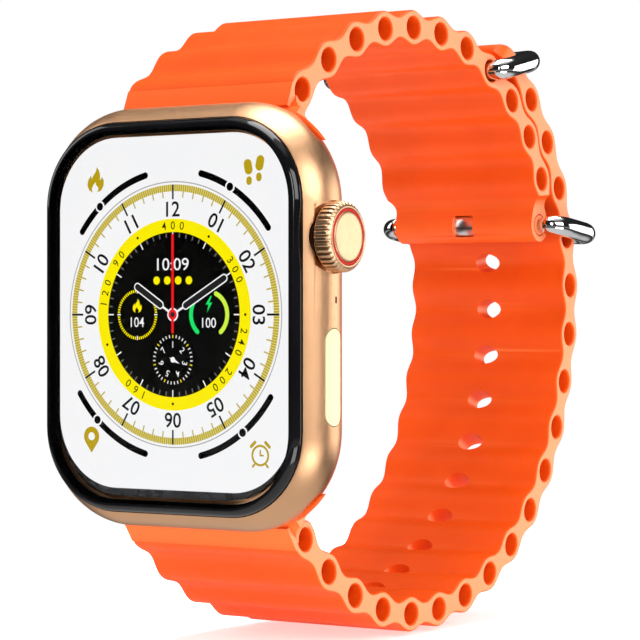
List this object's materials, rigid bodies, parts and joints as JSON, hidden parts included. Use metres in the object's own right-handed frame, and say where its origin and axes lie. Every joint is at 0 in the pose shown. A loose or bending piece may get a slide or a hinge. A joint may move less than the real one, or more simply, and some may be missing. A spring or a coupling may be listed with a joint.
{
  "type": "smart sports watch",
  "caption": "Smart watch in a rounded gold case with a turning crown, a side button and a ribbed rubber band buckled into a loop",
  "frame": {"origin": "centre of the rear sensor window's flat face, which rests on the wrist", "axes": "+X towards the crown, +Y from the display through the case to the wrist, +Z towards 12 o'clock"},
  "size_m": [0.0384, 0.0734, 0.07],
  "materials": {
    "gold_aluminium": "satin anodised",
    "crown_gold": "satin anodised",
    "cream_button": "satin anodised",
    "red_inlay": "gloss",
    "black_glass": "polished",
    "display": "gloss",
    "orange_silicone": "matte",
    "polished_steel": "mirror polished",
    "steel": "satin",
    "black_plastic": "matte",
    "seal_rubber": "matte",
    "circuit_board": "matte",
    "battery_wrap": "satin",
    "copper": "bare wire",
    "flex_film": "satin",
    "led_lens": "gloss"
  },
  "bodies": {
    "case": {"case_shell": "gold_aluminium", "cover_glass": "black_glass", "sensor_window": "black_glass", "display_panel": "display", "display_bracket": "steel", "rear_screw_1": "steel", "rear_screw_2": "steel", "rear_screw_3": "steel", "rear_screw_4": "steel", "shield_can": "steel", "vibration_motor": "steel", "microphone": "steel", "crown_bush": "steel", "crown_switch": "steel", "button_switch": "steel", "rear_cover": "black_plastic", "system_chip": "black_plastic", "speaker_module": "black_plastic", "encoder_sensor": "black_plastic", "photodiode_left": "black_plastic", "photodiode_right": "black_plastic", "glass_gasket": "seal_rubber", "rear_gasket": "seal_rubber", "button_seal": "seal_rubber", "main_board": "circuit_board", "sensor_board": "circuit_board", "battery": "battery_wrap", "charging_coil": "copper", "display_flex": "flex_film", "battery_flex": "flex_film", "sensor_flex": "flex_film", "green_led_upper": "led_lens", "green_led_lower": "led_lens"},
    "crown_wheel": {"encoder_wheel": "black_plastic"},
    "crown": {"crown_knob": "crown_gold", "crown_inlay": "red_inlay", "crown_shaft": "steel", "crown_seal": "seal_rubber"},
    "side_button": {"side_button": "cream_button", "button_stem": "steel"},
    "release_upper": {"release_button_upper": "gold_aluminium"},
    "release_lower": {"release_button_lower": "gold_aluminium"},
    "band_upper": {"band_lug_upper": "orange_silicone", "latch_pin_upper": "steel", "band_buckle_half": "orange_silicone", "buckle_bar": "steel", "keeper_bar": "steel"},
    "band_lower": {"band_lug_lower": "orange_silicone", "latch_pin_lower": "steel", "band_hole_half": "orange_silicone"},
    "buckle": {"buckle_frame": "polished_steel"},
    "tongue": {"tongue": "polished_steel"},
    "keeper": {"keeper_loop": "polished_steel"}
  },
  "joints": [
    {"name": "crown_spin", "type": "hinge", "parent": "case", "child": "crown_wheel", "pos_m": [0.0123, -0.00585, 0.0082], "axis": [1, 0, 0], "continuous": true},
    {"name": "crown_press", "type": "slide", "parent": "crown_wheel", "child": "crown", "axis": [-1, 0, 0], "range_m": [0, 0.00035], "stiffness_N_per_m": 1500, "springref_m": -0.0006},
    {"name": "side_button_press", "type": "slide", "parent": "case", "child": "side_button", "axis": [-1, 0, 0], "range_m": [0, 0.0003], "stiffness_N_per_m": 2000, "springref_m": -0.0005},
    {"name": "release_upper_press", "type": "slide", "parent": "case", "child": "release_upper", "axis": [0, -1, 0], "range_m": [0, 0.00035], "stiffness_N_per_m": 2000, "springref_m": -0.0005},
    {"name": "release_lower_press", "type": "slide", "parent": "case", "child": "release_lower", "axis": [0, -1, 0], "range_m": [0, 0.00035], "stiffness_N_per_m": 2000, "springref_m": -0.0005},
    {"name": "band_slide_upper", "type": "slide", "parent": "case", "child": "band_upper", "axis": [1, 0, 0], "range_m": [-0.034, 0.034]},
    {"name": "band_slide_lower", "type": "slide", "parent": "case", "child": "band_lower", "axis": [1, 0, 0], "range_m": [-0.034, 0.034]},
    {"name": "buckle_swing", "type": "hinge", "parent": "band_upper", "child": "buckle", "pos_m": [0, 0.0518, 0.01125], "axis": [1, 0, 0], "range_deg": [-14, 0]},
    {"name": "tongue_swing", "type": "hinge", "parent": "band_upper", "child": "tongue", "pos_m": [0, 0.0518, 0.01125], "axis": [1, 0, 0], "range_deg": [0, 4]},
    {"name": "keeper_swing", "type": "hinge", "parent": "band_upper", "child": "keeper", "pos_m": [0, 0.03822, 0.02906], "axis": [1, 0, 0], "range_deg": [0, 110]}
  ],
  "couplings": [
    {"joint": "band_slide_lower", "follows": "band_slide_upper", "ratio": 1}
  ]
}
